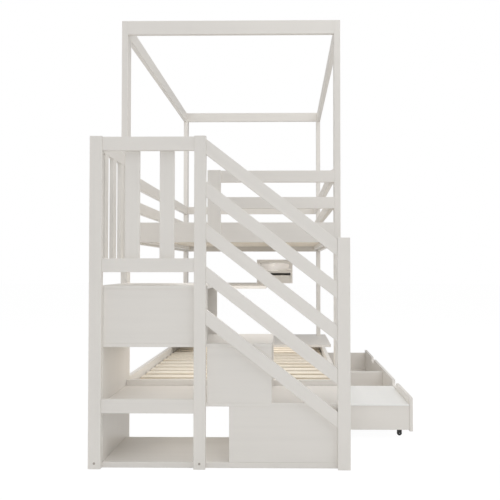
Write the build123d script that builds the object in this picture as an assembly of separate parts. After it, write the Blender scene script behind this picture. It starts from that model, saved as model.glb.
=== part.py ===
from build123d import *
import os

# White bunk bed under a flat rectangular canopy frame, with a storage staircase at its near
# end and two drawers on casters that stand pulled out at its right side.
# Millimetres. While the pieces are made, x = 0 is the bed's middle, y = 0 is the outer face of
# the near posts, z = 0 is the floor. Every piece is then moved so that the origin lies in the
# middle of the whole object's footprint, on the floor.

# Bed frame
bed_width = 1060.0
bed_length = 2045.0
bed_height = 2034.0
post_width = 30.0
post_depth = 70.0
beam_height = 66.0
beam_thick = 24.0
rail_thick = 22.0
upper_rail_height = 95.5
upper_rail_bottom = 957.0
lower_rail_height = 90.0
lower_rail_bottom = 206.0

# Slats and what carries them
slat_width = 80.0
slat_thick = 18.0
slat_count = 15
slat_drop = 39.0
slat_near_gap = 36.5
slat_far_gap = 8.0
slat_end_gap = 1.0
ledger_width = 28.0
ledger_height = 25.0
centre_beam_width = 45.0

# Guards of the upper bed
guard_rail_height = 56.0
guard_top_bottom = 1247.0
guard_mid_bottom = 1119.0
near_guard_left = -109.0
guard_post_width = 63.0
corner_block_width = 20.0
corner_block_height = 33.0
hollow_start = 270
hollow_turn = 90

# Boards at the far end of the lower bed
far_board_thick = 16.0
far_board_near_edge = 1333.0
far_board_overhang = 40.0
far_board_corner = 12.0
far_board_notch_gap = 0.5
desk_height = 717.0
desk_thick = 17.0
desk_near_edge = 1030.0
desk_right_edge = 139.0
desk_post_gap = 2.0
upright_thick = 18.0
upright_near_edge = 1340.0
upright_inner_right = -282.0

# Small box shelf on the desk board
box_left = 50.0
box_width = 263.0
box_depth = 225.0
box_height = 175.0
box_board = 15.0
box_top_thick = 25.0
box_shelf_thick = 20.0
box_shelf_top = 96.0
box_panel_height = 59.0
box_panel_setback = 4.0

# Staircase
stair_depth = 443.4
stair_post_width = 52.5
stair_post_thick = 26.0
middle_post_width = 49.0
stair_left = -554.0
stair_middle = -115.5
stair_right = 482.0
tall_post_height = 1387.0
short_post_height = 960.0
stair_board = 15.0
stair_floor_thick = 24.0
left_wall_thick = 18.0
right_wall_thick = 16.0
left_wall_inner = -500.0
level_1_height = 270.0
level_2_height = 517.0
platform_height = 760.0
row_3_right = -63.0
row_2_right = 208.0
divider_face = 30.0

# Guards of the staircase
stair_rail_height = 58.0
stair_rail_thick = 22.0
platform_top_rail_bottom = 1326.0
platform_low_rail_bottom = 816.0
level_rail_bottom = 230.0
guard_slat_width = 61.5
guard_slat_thick = 15.0
guard_slat_lap = 1.0
front_slat_lefts = (-410.4, -264.2)
side_guard_thick = 18.0
side_guard_inner = -511.0
side_slat_count = 3
side_slat_width = 55.0
side_slat_pitch = 138.5
side_slat_end = 24.0
diagonal_count = 5
diagonal_slope = 0.7745
diagonal_height = 67.0
diagonal_first_top = 1374.5
diagonal_spacing = 177.8

# Drawers
drawer_open_face = 886.0
drawer_depth = 716.5
drawer_end_gap = 2.5
drawer_middle_gap = 4.0
drawer_front_thick = 16.5
drawer_front_bottom = 36.0
drawer_front_top = 200.0
drawer_side_top = 180.0
lid_under = 160.0
drawer_side_bottom = 43.0
drawer_side_inset = 3.0
drawer_wall = 15.0
drawer_bottom_thick = 9.0
pull_width = 125.0
pull_depth = 30.0
pull_corner = 14.0
cleat_height = 14.0
cleat_thick = 12.0
lid_thick = 7.0
lid_length = 517.0
lid_gap = 0.5

# Casters
wheel_radius = 12.25
wheel_width = 10.0
wheel_edge = 1.5
axle_radius = 2.0
axle_clearance = 0.05
axle_length = 17.0
bracket_cheek = 2.0
bracket_gap = 0.8
bracket_length = 22.0
bracket_plate = 2.5
bracket_skirt = 4.0
caster_inset_x = 38.5
caster_inset_y = 68.0
screw_radius = 1.8
screw_length = 8.0
screw_offset = 7.5

# Frame bolts and cover caps
bolt_radius = 3.0
bolt_length = 62.0
bolt_head_radius = 6.0
bolt_head_thick = 2.5
cap_radius = 5.0
cap_depth = 4.0
cap_proud = 0.8
cap_height = 24.0

ease = 1.5

# Faces that several pieces share
outer_x = bed_width / 2
inner_x = outer_x - post_width
far_y = bed_length
far_post_y = bed_length - post_depth
upper_rail_top = upper_rail_bottom + upper_rail_height
lower_rail_top = lower_rail_bottom + lower_rail_height
upper_slat_top = upper_rail_top - slat_drop
lower_slat_top = lower_rail_top - slat_drop
first_slat = rail_thick + slat_near_gap
last_slat = far_post_y - slat_far_gap - slat_width
stair_front = -stair_depth
cabinet_front = stair_front + stair_post_thick
cabinet_back = 0.0
stair_right_end = stair_right + stair_post_width
left_wall_outer = left_wall_inner - left_wall_thick
level_1_under = level_1_height - stair_board
level_2_under = level_2_height - stair_board
platform_under = platform_height - stair_board
guard_top = guard_top_bottom + guard_rail_height
far_board_top = lower_rail_top + far_board_thick
desk_under = desk_height - desk_thick
origin_x = (stair_left + drawer_open_face) / 2
origin_y = (stair_front - cap_proud + far_y) / 2


def board(x, y, z, edge=ease):
    """A straight board between pairs of faces, with its edges rounded over."""
    solid = Pos(x[0], y[0], z[0]) * Box(
        x[1] - x[0], y[1] - y[0], z[1] - z[0], align=(Align.MIN, Align.MIN, Align.MIN)
    )
    return fillet(solid.edges(), edge) if edge else solid


def rod(radius, start, length, direction):
    """A round bar from a start point along a direction."""
    return Plane(origin=start, z_dir=direction) * Cylinder(
        radius, length, align=(Align.CENTER, Align.CENTER, Align.MIN)
    )


def both_sides(make):
    """The same piece on the left (-1) and on the right (+1)."""
    return [make(-1), make(1)]


def span(side, inner, outer):
    """The x range of a piece that lies between two distances from the bed's middle."""
    return (min(side * inner, side * outer), max(side * inner, side * outer))


# Bolts that hold the end rails and the end beams: each goes through a post into the rail's end
bolt_heights = (
    lower_rail_bottom + lower_rail_height / 2,
    upper_rail_bottom + upper_rail_height / 2,
    bed_height - beam_height / 2,
)
bolt_offset = rail_thick / 2


def frame_bolt(side, y, z):
    shank = rod(bolt_radius, (side * outer_x, y, z), bolt_length, (-side, 0, 0))
    head = rod(bolt_head_radius, (side * outer_x, y, z), bolt_head_thick, (-side, 0, 0))
    return shank + head


frame_bolts = [
    frame_bolt(side, y, z)
    for side in (-1, 1)
    for y in (bolt_offset, far_post_y + bolt_offset)
    for z in bolt_heights
]


def drilled(piece):
    """The piece with room for the frame bolts that pass through it."""
    for bolt in frame_bolts:
        piece = piece - bolt
    return piece


# Cover caps: two on the feet of the stair posts and one on the guard's short upright
guard_cap_point = (
    near_guard_left + guard_post_width / 2,
    -rail_thick,
    guard_mid_bottom + guard_rail_height / 2,
)
foot_cap_points = [
    (stair_left + stair_post_width / 2, stair_front, cap_height),
    (stair_middle + middle_post_width / 2, stair_front, cap_height),
]


def cap(point):
    """A small round plug in a blind hole, just proud of the face."""
    x, y, z = point
    return rod(cap_radius, (x, y - cap_proud, z), cap_proud + cap_depth, (0, 1, 0))


# Bed posts and canopy
def post(side, y):
    body = board(span(side, inner_x, outer_x), (y, y + post_depth), (0, bed_height))
    return drilled(body)


def end_board(y, z, thick, left=-inner_x):
    """A board across the bed between two posts; y is its near face."""
    return board((left, inner_x), (y, y + thick), z)


def both_ends(z, thick):
    """The same board flush with the near faces of both pairs of posts, drilled for its bolts."""
    return [drilled(end_board(y, z, thick)) for y in (0, far_post_y)]


def side_board(side, z, thick):
    """A board along the bed between the posts, flush with their outer faces."""
    return board(span(side, outer_x - thick, outer_x), (post_depth, far_post_y), z)


beam_z = (bed_height - beam_height, bed_height)
upper_rail_z = (upper_rail_bottom, upper_rail_top)
lower_rail_z = (lower_rail_bottom, lower_rail_top)
guard_top_z = (guard_top_bottom, guard_top)
guard_mid_z = (guard_mid_bottom, guard_mid_bottom + guard_rail_height)


def ledgers(slat_top):
    """The two strips on the side rails that the slats lie on."""
    z = (slat_top - slat_thick - ledger_height, slat_top - slat_thick)
    outer = outer_x - rail_thick
    return [board(span(side, outer - ledger_width, outer), (post_depth, far_post_y), z) for side in (-1, 1)]


def slats(slat_top):
    """The row of slats, spread evenly between the first and the last."""
    pitch = (last_slat - first_slat) / (slat_count - 1)
    half = inner_x - slat_end_gap
    row = []
    for index in range(slat_count):
        y = first_slat + index * pitch
        row.append(board((-half, half), (y, y + slat_width), (slat_top - slat_thick, slat_top)))
    return row


def near_guard_post():
    """The short upright on the front of the end rail, beside the way in from the platform."""
    xs = (near_guard_left, near_guard_left + guard_post_width)
    body = board(xs, (-rail_thick, 0), (upper_rail_bottom, guard_top))
    return body - cap(guard_cap_point)


def near_guard_rails():
    rails = [end_board(0, z, rail_thick, left=near_guard_left) for z in (guard_top_z, guard_mid_z)]
    return rails + [corner_block()]


def corner_block():
    """A small block with a hollow curve that stands on the guard beside the near right post."""
    left = inner_x - corner_block_width
    top = guard_top + corner_block_height
    hollow = EllipticalCenterArc(
        (left, top),
        corner_block_width,
        corner_block_height,
        start_angle=hollow_start,
        arc_size=hollow_turn,
    )
    outline = make_face(
        [hollow, Line((left, guard_top), (inner_x, guard_top)), Line((inner_x, guard_top), (inner_x, top))]
    )
    front = Plane((0, rail_thick, 0), x_dir=(1, 0, 0), z_dir=(0, -1, 0))
    return front * extrude(outline, rail_thick)


def right_guard_rails():
    """The right guard's rails lie on the inner faces of the posts."""
    xs = (inner_x - rail_thick, inner_x)
    return [board(xs, (rail_thick, far_post_y), z) for z in (guard_top_z, guard_mid_z)]


def centre_beam():
    half = centre_beam_width / 2
    z = (lower_rail_bottom, lower_slat_top - slat_thick)
    return board((-half, half), (rail_thick, far_post_y), z)


# Boards at the far end of the lower bed
def far_board():
    """A loose board on the lower rails, notched round the far posts."""
    left = -outer_x
    right = outer_x + far_board_overhang
    z = (lower_rail_top, far_board_top)
    body = board((left, right), (far_board_near_edge, far_y), z, edge=0)
    upright_edges = body.edges().filter_by(Axis.Z).sort_by(Axis.Y)[:2]
    body = fillet(upright_edges, far_board_corner)
    for side in (-1, 1):
        reach = outer_x + far_board_notch_gap
        xs = span(side, inner_x - far_board_notch_gap, reach)
        notch = board(xs, (far_post_y - far_board_notch_gap, far_y + ease), (z[0] - 1, z[1] + 1), edge=0)
        body = body - notch
    return body


desk_far_edge = far_post_y - desk_post_gap


def desk_board():
    return board((-inner_x, desk_right_edge), (desk_near_edge, desk_far_edge), (desk_under, desk_height))


def desk_uprights():
    z = (far_board_top, desk_under)
    y = (upright_near_edge, desk_far_edge)
    rights = (-inner_x + upright_thick, upright_inner_right)
    return [board((right - upright_thick, right), y, z) for right in rights]


box_right = box_left + box_width
box_front = desk_far_edge - box_depth
box_top = desk_height + box_height
box_inner_x = (box_left + box_board, box_right - box_board)
box_back_inner = desk_far_edge - box_board
box_shelf_z = desk_height + box_shelf_top


def box_shelf():
    """Top, two sides, back, bottom, middle shelf, and the strip that closes the lower front."""
    full_y = (box_front, desk_far_edge)
    inner_y = (box_front, box_back_inner)
    side_z = (desk_height, box_top - box_top_thick)
    panel_y = box_front + box_panel_setback
    panel_z = (desk_height + box_board, desk_height + box_panel_height)
    return [
        board((box_left, box_right), full_y, (box_top - box_top_thick, box_top)),
        board((box_left, box_left + box_board), full_y, side_z),
        board((box_right - box_board, box_right), full_y, side_z),
        board(box_inner_x, (box_back_inner, desk_far_edge), side_z),
        board(box_inner_x, inner_y, (desk_height, desk_height + box_board)),
        board(box_inner_x, inner_y, (box_shelf_z - box_shelf_thick, box_shelf_z)),
        board(box_inner_x, (panel_y, panel_y + box_board), panel_z),
    ]


# Staircase posts, guards and sloping boards
left_post_right = stair_left + stair_post_width
middle_post_right = stair_middle + middle_post_width


def stair_post(left, right, height):
    body = board((left, right), (stair_front, cabinet_front), (0, height))
    for point in foot_cap_points:
        body = body - cap(point)
    return body


rail_y = (cabinet_front - stair_rail_thick, cabinet_front)
platform_top_z = (platform_top_rail_bottom, platform_top_rail_bottom + stair_rail_height)
platform_low_z = (platform_low_rail_bottom, platform_low_rail_bottom + stair_rail_height)
level_rail_z = (level_rail_bottom, level_rail_bottom + stair_rail_height)


def stair_front_rails():
    """The guard's two rails and the rail in front of the first level, between two posts."""
    xs = (left_post_right, stair_middle)
    return [board(xs, rail_y, z) for z in (platform_top_z, platform_low_z, level_rail_z)]


def platform_slats():
    """Upright slats on the back of the two front rails."""
    z = (platform_low_z[0] + guard_slat_lap, platform_top_z[1] - guard_slat_lap)
    y = (cabinet_front, cabinet_front + guard_slat_thick)
    return [board((x, x + guard_slat_width), y, z) for x in front_slat_lefts]


side_guard_x = (side_guard_inner - side_guard_thick, side_guard_inner)


def side_guard_rails():
    return [board(side_guard_x, (cabinet_front, cabinet_back), z) for z in (platform_top_z, platform_low_z)]


def side_guard_slats():
    row = []
    for index in range(side_slat_count):
        end = cabinet_back - side_slat_end - index * side_slat_pitch
        z = (platform_low_z[1], platform_top_z[0])
        row.append(board(side_guard_x, (end - side_slat_width, end), z))
    return row


def diagonals():
    """Sloping boards between the middle and the right post, cut upright at both ends."""
    run = stair_right - middle_post_right
    drop = run * diagonal_slope
    row = []
    for index in range(diagonal_count):
        top = diagonal_first_top - index * diagonal_spacing
        outline = Polygon(
            (middle_post_right, top),
            (middle_post_right, top - diagonal_height),
            (stair_right, top - diagonal_height - drop),
            (stair_right, top - drop),
            align=None,
        )
        slab = extrude(outline, stair_rail_thick)
        placed = Plane((0, rail_y[1], 0), x_dir=(1, 0, 0), z_dir=(0, -1, 0)) * slab
        row.append(fillet(placed.edges(), ease))
    return row


# Staircase cabinet
panel_y = (cabinet_front, cabinet_front + stair_board)
behind_panel = (cabinet_front + stair_board, cabinet_back)
full_depth = (cabinet_front, cabinet_back)
right_wall_inner = stair_right_end - right_wall_thick


def stair_left_wall():
    return board((left_wall_outer, left_wall_inner), full_depth, (0, platform_under))


def stair_right_wall():
    return board((right_wall_inner, stair_right_end), full_depth, (0, level_1_under))


def stair_floor():
    return board((left_wall_inner, right_wall_inner), full_depth, (0, stair_floor_thick))


def stair_level_1():
    return board((left_wall_inner, stair_right_end), full_depth, (level_1_under, level_1_height))


def stair_level_2():
    return board((left_wall_inner, row_2_right), full_depth, (level_2_under, level_2_height))


def stair_platform():
    return board((left_wall_outer, row_3_right), full_depth, (platform_under, platform_height))


row_1_z = (stair_floor_thick, level_1_under)
row_2_z = (level_1_height, level_2_under)
row_3_z = (level_2_height, platform_under)
divider_2_right = row_3_right + stair_board


def stair_dividers():
    """The upright boards that part the open left ends of rows 2 and 1 from their closed ends."""
    return [
        board((row_3_right, divider_2_right), behind_panel, row_2_z),
        board((divider_face, divider_face + stair_board), behind_panel, row_1_z),
    ]


def stair_panels():
    """The closed fronts of the three rows, from the platform down."""
    return [
        board((left_wall_inner, row_3_right), panel_y, row_3_z),
        board((row_3_right, row_2_right), panel_y, row_2_z),
        board((divider_face, right_wall_inner), panel_y, row_1_z),
    ]


def stair_back_panels():
    """The closed backs of rows 3 and 2; both rows stay open towards the climber."""
    y = (cabinet_back - stair_board, cabinet_back)
    return [
        board((left_wall_inner, row_3_right), y, row_3_z),
        board((divider_2_right, row_2_right), y, row_2_z),
    ]


# Drawers
front_length = (far_post_y - post_depth - 2 * drawer_end_gap - drawer_middle_gap) / 2
front_inner = drawer_open_face - drawer_front_thick
drawer_back = drawer_open_face - drawer_depth
back_inner = drawer_back + drawer_wall
drawer_starts = {
    "near": post_depth + drawer_end_gap,
    "far": post_depth + drawer_end_gap + front_length + drawer_middle_gap,
}


def drawer_front(start):
    """The front board with a rounded finger notch in the middle of its top edge."""
    x = (front_inner, drawer_open_face)
    body = board(x, (start, start + front_length), (drawer_front_bottom, drawer_front_top), edge=0)
    middle = start + front_length / 2
    notch_z = (drawer_front_top - pull_depth, drawer_front_top + pull_depth)
    notch_y = (middle - pull_width / 2, middle + pull_width / 2)
    notch = board((x[0] - ease, x[1] + ease), notch_y, notch_z, edge=0)
    notch = fillet(notch.edges().filter_by(Axis.X), pull_corner)
    body = body - notch
    return fillet(body.edges(), ease)


def drawer_box(start, covered):
    """Two sides and the back; under a lid the near side is lower and two cleats carry its ends."""
    near = start + drawer_side_inset
    far = start + front_length - drawer_side_inset
    inside = (near + drawer_wall, far - drawer_wall)
    full_z = (drawer_side_bottom, drawer_side_top)
    near_z = (drawer_side_bottom, lid_under if covered else drawer_side_top)
    pieces = [
        board((drawer_back, front_inner), (near, near + drawer_wall), near_z),
        board((drawer_back, front_inner), (far - drawer_wall, far), full_z),
        board((drawer_back, back_inner), inside, full_z),
    ]
    if covered:
        cleat_y = (inside[0], start + lid_length)
        cleat_z = (lid_under - cleat_height, lid_under)
        pieces.append(board((back_inner, back_inner + cleat_thick), cleat_y, cleat_z))
        pieces.append(board((front_inner - cleat_thick, front_inner), cleat_y, cleat_z))
    return pieces


def drawer_bottom(start):
    wall = drawer_side_inset + drawer_wall
    return board(
        (back_inner, front_inner),
        (start + wall, start + front_length - wall),
        (drawer_side_bottom, drawer_side_bottom + drawer_bottom_thick),
    )


def drawer_lid(start):
    """The light board that covers the near part of the near drawer."""
    return board(
        (back_inner + lid_gap, front_inner - lid_gap),
        (start, start + lid_length),
        (lid_under, lid_under + lid_thick),
    )


def caster_places(start):
    """Axle middles: the front pair, then the rear pair."""
    xs = (front_inner - caster_inset_x, drawer_back + caster_inset_x)
    inset = drawer_side_inset + caster_inset_y
    ys = (start + inset, start + front_length - inset)
    return [[(x, y) for y in ys] for x in xs]


half_fork = wheel_width / 2 + bracket_gap


def axle(x, y, radius):
    return rod(radius, (x, y - axle_length / 2, wheel_radius), axle_length, (0, 1, 0))


def screw(x, y):
    return rod(screw_radius, (x, y, drawer_side_bottom - bracket_plate), screw_length, (0, 0, 1))


def screw_places(x, y):
    return [(x - screw_offset, y), (x + screw_offset, y)]


def bracket(x, y):
    """A plate under the drawer's bottom with two cheeks that hold the axle."""
    half = bracket_length / 2
    outer = half_fork + bracket_cheek
    top = drawer_side_bottom
    body = board((x - half, x + half), (y - outer, y + outer), (top - bracket_plate, top), edge=0)
    for side in (-1, 1):
        y_range = (y + min(side * half_fork, side * outer), y + max(side * half_fork, side * outer))
        cheek_z = (wheel_radius - bracket_skirt, top - bracket_plate)
        body = body + board((x - half, x + half), y_range, cheek_z, edge=0)
    body = body - axle(x, y, axle_radius)
    for place in screw_places(x, y):
        body = body - screw(*place)
    return body


def wheel(x, y):
    """A small solid wheel with rounded rims, running on its axle."""
    body = rod(wheel_radius, (x, y - wheel_width / 2, wheel_radius), wheel_width, (0, 1, 0))
    body = fillet(body.edges(), wheel_edge)
    return body - axle(x, y, axle_radius + axle_clearance)


def drawer_parts(label, start):
    pairs = caster_places(start)
    every = [place for pair in pairs for place in pair]
    screws = [screw(*spot) for place in every for spot in screw_places(*place)]
    bottom = drawer_bottom(start)
    for one in screws:
        bottom = bottom - one
    return {
        f"drawer_{label}_front": drawer_front(start),
        f"drawer_{label}_box": drawer_box(start, covered=label == "near"),
        f"drawer_{label}_bottom": bottom,
        f"drawer_{label}_brackets": [bracket(*place) for place in every],
        f"drawer_{label}_axles": [axle(*place, axle_radius) for place in every],
        f"drawer_{label}_screws": screws,
        f"drawer_{label}_front_wheels": [wheel(*place) for place in pairs[0]],
        f"drawer_{label}_rear_wheels": [wheel(*place) for place in pairs[1]],
    }


nodes = {
    "post_near_left": post(-1, 0),
    "post_near_right": post(1, 0),
    "post_far_left": post(-1, far_post_y),
    "post_far_right": post(1, far_post_y),
    "canopy_end_beams": both_ends(beam_z, beam_thick),
    "canopy_side_beams": both_sides(lambda side: side_board(side, beam_z, beam_thick)),
    "upper_end_rails": both_ends(upper_rail_z, rail_thick),
    "upper_side_rails": both_sides(lambda side: side_board(side, upper_rail_z, rail_thick)),
    "upper_slat_ledgers": ledgers(upper_slat_top),
    "upper_slats": slats(upper_slat_top),
    "near_guard_rails": near_guard_rails(),
    "near_guard_post": near_guard_post(),
    "far_guard_rails": [end_board(far_post_y, z, rail_thick) for z in (guard_top_z, guard_mid_z)],
    "left_guard_rails": [side_board(-1, z, post_width) for z in (guard_top_z, guard_mid_z)],
    "right_guard_rails": right_guard_rails(),
    "lower_end_rails": both_ends(lower_rail_z, rail_thick),
    "lower_side_rails": both_sides(lambda side: side_board(side, lower_rail_z, rail_thick)),
    "lower_slat_ledgers": ledgers(lower_slat_top),
    "lower_centre_beam": centre_beam(),
    "lower_slats": slats(lower_slat_top),
    "far_board": far_board(),
    "desk_board": desk_board(),
    "desk_uprights": desk_uprights(),
    "box_shelf": box_shelf(),
    "stair_post_left": stair_post(stair_left, left_post_right, tall_post_height),
    "stair_post_middle": stair_post(stair_middle, middle_post_right, tall_post_height),
    "stair_post_right": stair_post(stair_right, stair_right_end, short_post_height),
    "stair_front_rails": stair_front_rails(),
    "platform_front_slats": platform_slats(),
    "platform_side_rails": side_guard_rails(),
    "platform_side_slats": side_guard_slats(),
    "stair_sloping_boards": diagonals(),
    "stair_left_wall": stair_left_wall(),
    "stair_right_wall": stair_right_wall(),
    "stair_floor_board": stair_floor(),
    "stair_level_1_board": stair_level_1(),
    "stair_level_2_board": stair_level_2(),
    "stair_platform_board": stair_platform(),
    "stair_dividers": stair_dividers(),
    "stair_front_panels": stair_panels(),
    "stair_back_panels": stair_back_panels(),
    "frame_bolts": frame_bolts,
    "cover_caps": [cap(point) for point in (*foot_cap_points, guard_cap_point)],
}
for label, start in drawer_starts.items():
    nodes.update(drawer_parts(label, start))
nodes["drawer_near_lid"] = drawer_lid(drawer_starts["near"])

os.makedirs("parts", exist_ok=True)
to_origin = Pos(-origin_x, -origin_y, 0)
for name, pieces in nodes.items():
    solids = pieces if isinstance(pieces, list) else [pieces]
    placed = [to_origin * solid for solid in solids]
    shape = placed[0] if len(placed) == 1 else Compound(children=placed)
    export_step(shape, f"parts/{name}.step")
print(len(nodes), "nodes")
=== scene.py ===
import math

import bpy
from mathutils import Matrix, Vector


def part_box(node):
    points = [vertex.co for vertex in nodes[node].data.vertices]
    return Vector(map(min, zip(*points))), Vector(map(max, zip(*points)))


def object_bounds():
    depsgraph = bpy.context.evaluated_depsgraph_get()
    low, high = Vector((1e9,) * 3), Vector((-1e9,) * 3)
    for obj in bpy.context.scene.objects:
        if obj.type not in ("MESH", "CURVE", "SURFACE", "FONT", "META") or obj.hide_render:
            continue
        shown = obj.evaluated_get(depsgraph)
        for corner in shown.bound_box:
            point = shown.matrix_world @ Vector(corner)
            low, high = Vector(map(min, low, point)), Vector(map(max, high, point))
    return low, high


X, Y, Z = 0, 1, 2

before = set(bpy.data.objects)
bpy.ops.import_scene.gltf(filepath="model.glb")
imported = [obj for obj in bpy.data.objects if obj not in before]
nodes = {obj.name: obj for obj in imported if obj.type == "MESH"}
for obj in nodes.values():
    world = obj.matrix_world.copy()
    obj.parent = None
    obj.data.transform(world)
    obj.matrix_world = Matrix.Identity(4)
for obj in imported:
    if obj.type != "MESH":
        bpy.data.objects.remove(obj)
cad_low, cad_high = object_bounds()

# Metres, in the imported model's frame: +Z up, +Y along the bed away from the staircase, +X to the
# side where the drawers pull out.

# Photograph: a square of 500 pixels
photo_px = 500
photo_focal_px = 676.4
photo_centre_x = 277.2
photo_centre_y = 251.26
sensor_mm = 36.0

# Camera: measured from the bed's own edges
camera_from_post_x = -0.25834
camera_from_post_y = -3.25243
camera_height = 0.838
camera_pitch = 0.023155
camera_yaw = 0.014358

# Colours, as written in the photograph's own colour space
paint_colour = (0.918, 0.904, 0.884)
# The lid's colour is lighter than the paint's: painted light, standing in for the extra light from
# above on its top face
lid_colour_with_painted_light = (0.962, 0.962, 0.955)
pine_colour = (0.945, 0.915, 0.862)
pine_dark_colour = (0.915, 0.868, 0.790)
plastic_colour = (0.055, 0.055, 0.058)
rubber_colour = (0.07, 0.07, 0.072)
steel_colour = (0.62, 0.62, 0.63)
cap_colour = (0.66, 0.63, 0.60)
floor_colour = (0.93, 0.93, 0.925)

# Light: the sky's level, then each lamp's place and target from the model's middle, size and power
sky_level = 0.44
lamps = {
    "top_lamp": ((1.9, -2.2, 3.6), (0.2, -0.2, -0.4), 5.0, 84.0),
    "front_lamp": ((-0.4, -7.5, 0.0), (0.0, 0.0, -0.2), 4.0, 70.0),
    "left_lamp": ((-4.6, -0.6, 1.2), (0.0, 0.2, -0.4), 4.0, 75.0),
    "right_lamp": ((4.8, -0.2, 1.2), (0.0, 0.2, -0.4), 4.0, 44.0),
}
# Soft fill under what shades the rest: the node above, how far under it, the part of its length
# from the near end that the lamp covers, and the power
fill_gap = 0.01
fill_width_share = 0.7
fills = {
    "bunk_fill": ("upper_slats", 0.053, (0.04, 0.46), 2.6),
    "far_board_fill": ("far_board", 0.0, (0.05, 0.75), 0.8),
    "row_2_fill": ("stair_level_2_board", 0.0, (0.15, 0.85), 0.36),
    "row_1_fill": ("stair_level_1_board", 0.0, (0.15, 0.85), 0.48),
}
# A small lamp just inside the open front of the box shelf's upper half
shelf_fill_inset = 0.012
shelf_fill_height_share = 0.70
shelf_fill_size = 0.05
shelf_fill_power = 0.12

floor_size = 60.0
floor_glow = 0.96
floor_shade_share = 0.08

# Paint over pine: how often each pattern repeats per metre, across the grain and along it
paint_grain = (150.0, 3.0)
paint_streaks = (28.0, 1.3)
paint_cloud = 2.2
paint_roller = 900.0
paint_stops = ((0.32, 0.984), (0.52, 1.0), (0.70, 1.008))
paint_roughness = (0.36, 0.50)
paint_grain_bump = (0.30, 0.0003)
paint_roller_bump = (0.10, 0.0001)
half = 0.5

# Bare pine
pine_rings = (38.0, 1.1)
pine_flecks = (420.0, 14.0)
pine_roughness = (0.48, 0.64)
pine_fleck_colour = (0.62, 0.5, 0.4, 1.0)
pine_fleck_stops = (0.38, 0.56)
pine_fleck_share = 0.25
pine_fleck_bump = (0.35, 0.0003)
white = (1.0, 1.0, 1.0, 1.0)

# Plastic, rubber and steel
moulded_spots = 1400.0
moulded_bump = (0.2, 0.0002)
steel_lines = (2600.0, 120.0, 120.0)
steel_bump = (0.2, 0.0001)

# The staircase's sloping boards: how much they fall for each metre across
sloping_fall = 0.7745


def linear(colour):
    """A colour written in sRGB, as the shaders take it."""
    turned = []
    for value in colour:
        low = value / 12.92
        high = ((value + 0.055) / 1.055) ** 2.4
        turned.append(low if value <= 0.04045 else high)
    return (*turned, 1.0)


# Camera
def make_camera():
    post_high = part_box("post_near_right")[1]
    post_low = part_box("post_near_right")[0]
    data = bpy.data.cameras.new("camera")
    data.sensor_width = sensor_mm
    data.lens = photo_focal_px / photo_px * sensor_mm
    data.shift_x = (photo_px / 2 - photo_centre_x) / photo_px
    data.shift_y = (photo_centre_y - photo_px / 2) / photo_px
    camera = bpy.data.objects.new("camera", data)
    camera.location = (
        post_high.x + camera_from_post_x,
        post_low.y + camera_from_post_y,
        camera_height,
    )
    camera.rotation_euler = (math.pi / 2 + camera_pitch, 0.0, camera_yaw)
    bpy.context.scene.collection.objects.link(camera)
    bpy.context.scene.camera = camera


# Shader helpers
class Shader:
    """A new material whose nodes are added one at a time."""

    def __init__(self, name):
        self.material = bpy.data.materials.new(name)
        self.material.use_nodes = True
        self.tree = self.material.node_tree
        self.tree.nodes.clear()
        self.output = self.add("ShaderNodeOutputMaterial")

    def add(self, kind, **settings):
        node = self.tree.nodes.new(kind)
        for key, value in settings.items():
            setattr(node, key, value)
        return node

    def link(self, source, target):
        self.tree.links.new(source, target)

    def principled(self, roughness, metallic=0.0, specular=0.5):
        node = self.add("ShaderNodeBsdfPrincipled")
        node.inputs["Roughness"].default_value = roughness
        node.inputs["Metallic"].default_value = metallic
        node.inputs["Specular IOR Level"].default_value = specular
        self.link(node.outputs["BSDF"], self.output.inputs["Surface"])
        return node

    def noise(self, vector, scale, detail=3.0, roughness=0.55):
        node = self.add("ShaderNodeTexNoise")
        node.inputs["Scale"].default_value = scale
        node.inputs["Detail"].default_value = detail
        node.inputs["Roughness"].default_value = roughness
        self.link(vector, node.inputs["Vector"])
        return node.outputs["Fac"]

    def stretched(self, scale, turn=(0.0, 0.0, 0.0)):
        """The object's own coordinates, turned and then scaled along each axis."""
        coordinates = self.add("ShaderNodeTexCoord")
        turned = self.add("ShaderNodeMapping")
        turned.inputs["Rotation"].default_value = turn
        self.link(coordinates.outputs["Object"], turned.inputs["Vector"])
        scaled = self.add("ShaderNodeMapping")
        scaled.inputs["Scale"].default_value = scale
        self.link(turned.outputs["Vector"], scaled.inputs["Vector"])
        return scaled.outputs["Vector"]

    def ramp(self, value, stops):
        node = self.add("ShaderNodeValToRGB")
        elements = node.color_ramp.elements
        while len(elements) < len(stops):
            elements.new(0.5)
        for element, (place, colour) in zip(elements, stops):
            element.position = place
            element.color = colour
        self.link(value, node.inputs["Fac"])
        return node.outputs["Color"]

    def bump(self, height, strength, distance, onto=None):
        node = self.add("ShaderNodeBump")
        node.inputs["Strength"].default_value = strength
        node.inputs["Distance"].default_value = distance
        self.link(height, node.inputs["Height"])
        if onto is not None:
            self.link(onto, node.inputs["Normal"])
        return node.outputs["Normal"]

    def range(self, value, low, high):
        node = self.add("ShaderNodeMapRange")
        node.inputs["To Min"].default_value = low
        node.inputs["To Max"].default_value = high
        self.link(value, node.inputs["Value"])
        return node.outputs["Result"]


def shade(colour, factor):
    """The same colour, lighter or darker."""
    return tuple(min(1.0, value * factor) for value in colour)


def grain_scale(across_and_along, along):
    """How a wood pattern repeats on each axis, when the grain runs along one of them."""
    across, lengthwise = across_and_along
    return tuple(lengthwise if axis == along else across for axis in (X, Y, Z))


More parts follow.
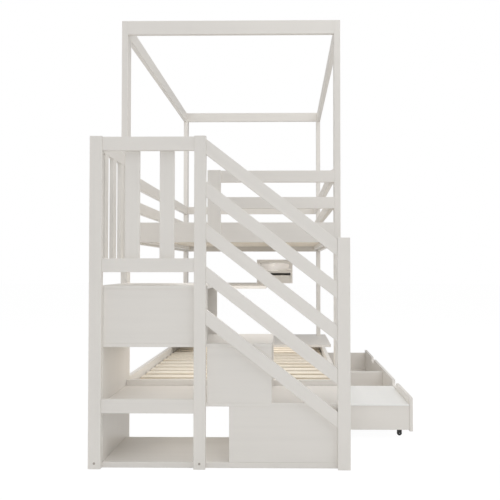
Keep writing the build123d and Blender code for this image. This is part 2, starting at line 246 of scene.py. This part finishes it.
def painted_wood(name, along, turn=(0.0, 0.0, 0.0), colour=paint_colour):
    """Satin white paint over pine: a faint raised grain along the board and uneven sheen."""
    shader = Shader(name)
    surface = shader.principled(roughness=0.42, specular=0.4)
    grain = shader.noise(shader.stretched(grain_scale(paint_grain, along), turn), 1.0, detail=4.0)
    streaks = shader.noise(shader.stretched(grain_scale(paint_streaks, along), turn), 1.0, detail=2.0)
    cloud = shader.noise(shader.stretched((paint_cloud,) * 3), 1.0, detail=2.0)
    roller = shader.noise(shader.stretched((paint_roller,) * 3), 1.0, detail=1.0)
    mixed = shader.add("ShaderNodeMath", operation="MULTIPLY_ADD")
    mixed.inputs[1].default_value = half
    shader.link(streaks, mixed.inputs[0])
    half_cloud = shader.add("ShaderNodeMath", operation="MULTIPLY")
    half_cloud.inputs[1].default_value = half
    shader.link(cloud, half_cloud.inputs[0])
    shader.link(half_cloud.outputs[0], mixed.inputs[2])
    stops = [(place, linear(shade(colour, factor))) for place, factor in paint_stops]
    shader.link(shader.ramp(mixed.outputs[0], stops), surface.inputs["Base Color"])
    shader.link(shader.range(streaks, *paint_roughness), surface.inputs["Roughness"])
    wood = shader.bump(grain, *paint_grain_bump)
    shader.link(shader.bump(roller, *paint_roller_bump, onto=wood), surface.inputs["Normal"])
    return shader.material


def bare_pine(name, along):
    """Clear pine slats: growth rings as soft bands along the board, with darker flecks."""
    shader = Shader(name)
    surface = shader.principled(roughness=0.55, specular=0.35)
    rings = shader.noise(
        shader.stretched(grain_scale(pine_rings, along)), 1.0, detail=3.0, roughness=0.6
    )
    flecks = shader.noise(shader.stretched(grain_scale(pine_flecks, along)), 1.0, detail=2.0)
    colour = shader.ramp(
        rings,
        [
            (0.30, linear(shade(pine_colour, 1.04))),
            (0.50, linear(pine_colour)),
            (0.60, linear(pine_dark_colour)),
            (0.68, linear(shade(pine_colour, 0.97))),
        ],
    )
    dark = shader.add("ShaderNodeMixRGB", blend_type="MULTIPLY")
    dark.inputs["Fac"].default_value = pine_fleck_share
    shader.link(colour, dark.inputs["Color1"])
    fleck_ends = list(zip(pine_fleck_stops, (pine_fleck_colour, white)))
    shader.link(shader.ramp(flecks, fleck_ends), dark.inputs["Color2"])
    shader.link(dark.outputs["Color"], surface.inputs["Base Color"])
    shader.link(shader.range(rings, *pine_roughness), surface.inputs["Roughness"])
    shader.link(shader.bump(flecks, *pine_fleck_bump), surface.inputs["Normal"])
    return shader.material


def moulded(name, colour, roughness, grain=0.0):
    """Moulded plastic or rubber with a fine grain."""
    shader = Shader(name)
    surface = shader.principled(roughness=roughness)
    spots = shader.noise(shader.stretched((moulded_spots,) * 3), 1.0, detail=2.0)
    stops = [(0.3, linear(shade(colour, 0.85))), (0.7, linear(shade(colour, 1.15)))]
    shader.link(shader.ramp(spots, stops), surface.inputs["Base Color"])
    strength, distance = moulded_bump
    shader.link(shader.bump(spots, strength + grain, distance), surface.inputs["Normal"])
    return shader.material


def steel(name):
    """Zinc-plated steel with fine turning lines."""
    shader = Shader(name)
    surface = shader.principled(roughness=0.36, metallic=1.0)
    lines = shader.noise(shader.stretched(steel_lines), 1.0, detail=2.0)
    stops = [(0.3, linear(shade(steel_colour, 0.9))), (0.7, linear(shade(steel_colour, 1.1)))]
    shader.link(shader.ramp(lines, stops), surface.inputs["Base Color"])
    shader.link(shader.bump(lines, *steel_bump), surface.inputs["Normal"])
    return shader.material


def dress(names, material):
    for name in names:
        mesh = nodes[name].data
        mesh.materials.clear()
        mesh.materials.append(material)


def dress_nodes():
    across = painted_wood("paint_across", X)
    along = painted_wood("paint_along", Y)
    upright = painted_wood("paint_upright", Z)
    sloping = painted_wood("paint_sloping", X, turn=(0.0, -math.atan(sloping_fall), 0.0))
    wood_by_grain = {
        across: [
            "canopy_end_beams", "upper_end_rails", "lower_end_rails", "near_guard_rails",
            "far_guard_rails", "stair_front_rails", "stair_floor_board", "stair_level_1_board",
            "stair_level_2_board", "stair_platform_board", "stair_front_panels", "stair_back_panels",
            "box_shelf",
            "drawer_near_box", "drawer_far_box", "drawer_near_bottom", "drawer_far_bottom",
        ],
        along: [
            "canopy_side_beams", "upper_side_rails", "lower_side_rails", "upper_slat_ledgers",
            "lower_slat_ledgers", "lower_centre_beam", "left_guard_rails", "right_guard_rails",
            "platform_side_rails", "far_board", "desk_board", "desk_uprights",
            "drawer_near_front", "drawer_far_front",
        ],
        upright: [
            "post_near_left", "post_near_right", "post_far_left", "post_far_right",
            "near_guard_post", "stair_post_left", "stair_post_middle", "stair_post_right",
            "platform_front_slats", "platform_side_slats", "stair_left_wall", "stair_right_wall",
            "stair_dividers",
        ],
        sloping: ["stair_sloping_boards"],
    }
    for material, names in wood_by_grain.items():
        dress(names, material)
    # The near drawer's lid gets a lighter copy of the paint: painted light on its top
    dress(["drawer_near_lid"], painted_wood("paint_lid_painted_light", Y, colour=lid_colour_with_painted_light))
    dress(["upper_slats", "lower_slats"], bare_pine("pine", X))
    dress(["cover_caps"], moulded("cap_plastic", cap_colour, 0.5))
    plastic = moulded("bracket_plastic", plastic_colour, 0.4)
    rubber = moulded("wheel_rubber", rubber_colour, 0.6, grain=0.2)
    metal = steel("steel")
    dress(["frame_bolts"], metal)
    for label in ("near", "far"):
        dress([f"drawer_{label}_brackets"], plastic)
        dress([f"drawer_{label}_front_wheels", f"drawer_{label}_rear_wheels"], rubber)
        dress([f"drawer_{label}_axles", f"drawer_{label}_screws"], metal)


# Floor, sky and lamps
def make_floor():
    reach = floor_size / 2
    mesh = bpy.data.meshes.new("floor")
    corners = [(-reach, -reach, 0), (reach, -reach, 0), (reach, reach, 0), (-reach, reach, 0)]
    mesh.from_pydata(corners, [], [(0, 1, 2, 3)])
    floor = bpy.data.objects.new("floor", mesh)
    bpy.context.scene.collection.objects.link(floor)
    shader = Shader("floor")
    seen = shader.add("ShaderNodeLightPath")
    plain = shader.add("ShaderNodeBsdfDiffuse")
    plain.inputs["Color"].default_value = linear(floor_colour)
    shaded = shader.add("ShaderNodeBsdfDiffuse")
    shaded.inputs["Color"].default_value = (floor_shade_share,) * 3 + (1.0,)
    glow = shader.add("ShaderNodeEmission")
    glow.inputs["Strength"].default_value = floor_glow
    backdrop = shader.add("ShaderNodeAddShader")
    shader.link(shaded.outputs[0], backdrop.inputs[0])
    shader.link(glow.outputs[0], backdrop.inputs[1])
    mixed = shader.add("ShaderNodeMixShader")
    shader.link(pale_rays(shader, seen), mixed.inputs["Fac"])
    shader.link(plain.outputs[0], mixed.inputs[1])
    shader.link(backdrop.outputs[0], mixed.inputs[2])
    shader.link(mixed.outputs[0], shader.output.inputs["Surface"])
    mesh.materials.append(shader.material)


def pale_rays(shader, seen):
    """1 for rays that show the background: from the camera, in gloss and through glass."""
    first = shader.add("ShaderNodeMath", operation="MAXIMUM")
    second = shader.add("ShaderNodeMath", operation="MAXIMUM")
    shader.link(seen.outputs["Is Camera Ray"], first.inputs[0])
    shader.link(seen.outputs["Is Glossy Ray"], first.inputs[1])
    shader.link(first.outputs[0], second.inputs[0])
    shader.link(seen.outputs["Is Transmission Ray"], second.inputs[1])
    return second.outputs[0]


def make_sky():
    world = bpy.data.worlds.new("sky")
    world.use_nodes = True
    bpy.context.scene.world = world
    tree = world.node_tree
    background = tree.nodes["Background"]
    background.inputs["Color"].default_value = white
    seen = tree.nodes.new("ShaderNodeLightPath")
    strength = tree.nodes.new("ShaderNodeMapRange")
    strength.inputs["To Min"].default_value = sky_level
    strength.inputs["To Max"].default_value = 1.0
    tree.links.new(seen.outputs["Is Camera Ray"], strength.inputs["Value"])
    tree.links.new(strength.outputs["Result"], background.inputs["Strength"])


def make_lamp(name, place, target, size, power):
    data = bpy.data.lights.new(name, "AREA")
    data.shape = "DISK"
    data.size = size
    data.energy = power
    lamp = bpy.data.objects.new(name, data)
    lamp.location = place
    direction = Vector(target) - Vector(place)
    lamp.rotation_euler = direction.to_track_quat("-Z", "Y").to_euler()
    lamp.visible_camera = False
    bpy.context.scene.collection.objects.link(lamp)


def make_shelf_fill():
    """A small lamp in the box shelf's upper half that shines on its back."""
    low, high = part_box("box_shelf")
    z = low.z + (high.z - low.z) * shelf_fill_height_share
    place = ((low.x + high.x) / 2, low.y + shelf_fill_inset, z)
    make_lamp("shelf_fill", place, (place[0], high.y, z), shelf_fill_size, shelf_fill_power)


def make_fill(name, node, drop, lengthwise, power):
    """A flat lamp just under a board that shines down."""
    low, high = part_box(node)
    start, end = (low.y + (high.y - low.y) * share for share in lengthwise)
    data = bpy.data.lights.new(name, "AREA")
    data.shape = "RECTANGLE"
    data.size = (high.x - low.x) * fill_width_share
    data.size_y = end - start
    data.energy = power
    lamp = bpy.data.objects.new(name, data)
    lamp.location = ((low.x + high.x) / 2, (start + end) / 2, low.z - drop - fill_gap)
    lamp.visible_camera = False
    bpy.context.scene.collection.objects.link(lamp)


def make_light():
    make_sky()
    middle = (cad_low + cad_high) / 2
    for name, (place, target, size, power) in lamps.items():
        make_lamp(name, middle + Vector(place), middle + Vector(target), size, power)
    for name, (node, drop, lengthwise, power) in fills.items():
        make_fill(name, node, drop, lengthwise, power)
    make_shelf_fill()


make_camera()
dress_nodes()
make_floor()
make_light()
bpy.context.scene.view_settings.view_transform = "Standard"
